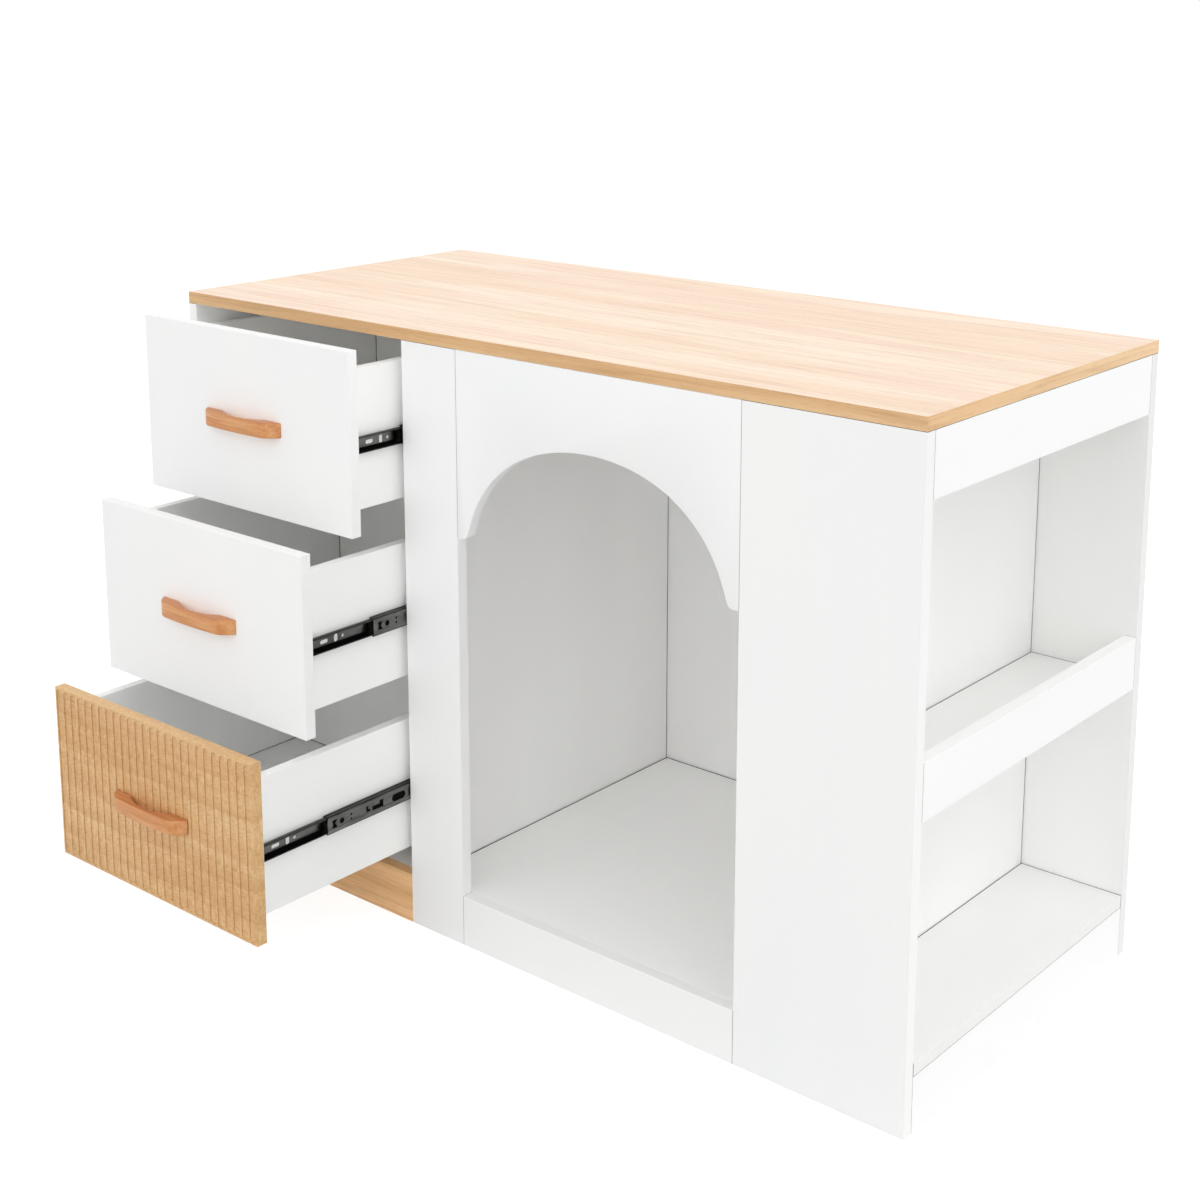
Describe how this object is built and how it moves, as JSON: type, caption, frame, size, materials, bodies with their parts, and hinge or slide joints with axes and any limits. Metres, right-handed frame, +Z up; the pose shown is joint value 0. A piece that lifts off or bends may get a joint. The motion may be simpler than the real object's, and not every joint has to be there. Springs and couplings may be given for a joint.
{
  "type": "kitchen island unit",
  "caption": "White kitchen island with an oak-look worktop, drawers on ball-bearing runners with wooden bow handles, an arched pet kennel and open end shelves.",
  "frame": {"origin": "bottom centre of the whole unit's box, with the drawers open as pictured", "axes": "+X to the right along the long front, +Y to the back, +Z up"},
  "size_m": [1.34, 0.927, 0.914],
  "materials": {
    "white_board": "satin white laminate on board",
    "oak_worktop": "pale oak, satin lacquer",
    "oak_front": "oak, satin lacquer",
    "beech_handle": "reddish beech, satin lacquer",
    "black_steel": "black zinc-plated steel",
    "zinc_screw": "zinc-plated steel"
  },
  "bodies": {
    "cabinet": {"worktop": "oak_worktop", "left_side_panel": "white_board", "drawer_bay_divider": "white_board", "kennel_end_divider": "white_board", "back_panel": "white_board", "rear_end_panel": "white_board", "front_stile": "white_board", "front_end_panel": "white_board", "arch_panel": "white_board", "kennel_rail": "white_board", "kennel_floor": "white_board", "drawer_plinth": "oak_front", "drawer_bay_floor": "white_board", "end_bottom_shelf": "white_board", "end_plinth": "white_board", "middle_shelf": "white_board", "middle_shelf_rail": "white_board", "end_top_rail": "white_board", "bottom_cabinet_member_left": "black_steel", "bottom_cabinet_member_right": "black_steel", "middle_cabinet_member_left": "black_steel", "middle_cabinet_member_right": "black_steel", "top_cabinet_member_left": "black_steel", "top_cabinet_member_right": "black_steel"},
    "bottom_drawer": {"bottom_drawer_front": "oak_front", "bottom_drawer_side_left": "white_board", "bottom_drawer_side_right": "white_board", "bottom_drawer_back": "white_board", "bottom_drawer_bottom": "white_board", "bottom_handle": "beech_handle", "bottom_handle_screw_left": "zinc_screw", "bottom_handle_screw_right": "zinc_screw", "bottom_drawer_member_left": "black_steel", "bottom_drawer_member_right": "black_steel"},
    "bottom_runners": {"bottom_middle_member_left": "black_steel", "bottom_middle_member_right": "black_steel"},
    "middle_drawer": {"middle_drawer_front": "white_board", "middle_drawer_side_left": "white_board", "middle_drawer_side_right": "white_board", "middle_drawer_back": "white_board", "middle_drawer_bottom": "white_board", "middle_handle": "beech_handle", "middle_handle_screw_left": "zinc_screw", "middle_handle_screw_right": "zinc_screw", "middle_drawer_member_left": "black_steel", "middle_drawer_member_right": "black_steel"},
    "middle_runners": {"middle_middle_member_left": "black_steel", "middle_middle_member_right": "black_steel"},
    "top_drawer": {"top_drawer_front": "white_board", "top_drawer_side_left": "white_board", "top_drawer_side_right": "white_board", "top_drawer_back": "white_board", "top_drawer_bottom": "white_board", "top_handle": "beech_handle", "top_handle_screw_left": "zinc_screw", "top_handle_screw_right": "zinc_screw", "top_drawer_member_left": "black_steel", "top_drawer_member_right": "black_steel"},
    "top_runners": {"top_middle_member_left": "black_steel", "top_middle_member_right": "black_steel"}
  },
  "joints": [
    {"name": "bottom_drawer_slide", "type": "slide", "parent": "cabinet", "child": "bottom_drawer", "axis": [0, -1, 0], "range_m": [-0.295, 0.145]},
    {"name": "bottom_runner_slide", "type": "slide", "parent": "cabinet", "child": "bottom_runners", "axis": [0, -1, 0], "range_m": [-0.1947, 0.0957]},
    {"name": "middle_drawer_slide", "type": "slide", "parent": "cabinet", "child": "middle_drawer", "axis": [0, -1, 0], "range_m": [-0.195, 0.245]},
    {"name": "middle_runner_slide", "type": "slide", "parent": "cabinet", "child": "middle_runners", "axis": [0, -1, 0], "range_m": [-0.0975, 0.1225]},
    {"name": "top_drawer_slide", "type": "slide", "parent": "cabinet", "child": "top_drawer", "axis": [0, -1, 0], "range_m": [-0.1, 0.34]},
    {"name": "top_runner_slide", "type": "slide", "parent": "cabinet", "child": "top_runners", "axis": [0, -1, 0], "range_m": [-0.03, 0.102]}
  ],
  "couplings": [
    {"joint": "bottom_runner_slide", "follows": "bottom_drawer_slide", "ratio": 0.66},
    {"joint": "middle_runner_slide", "follows": "middle_drawer_slide", "ratio": 0.5},
    {"joint": "top_runner_slide", "follows": "top_drawer_slide", "ratio": 0.3}
  ]
}
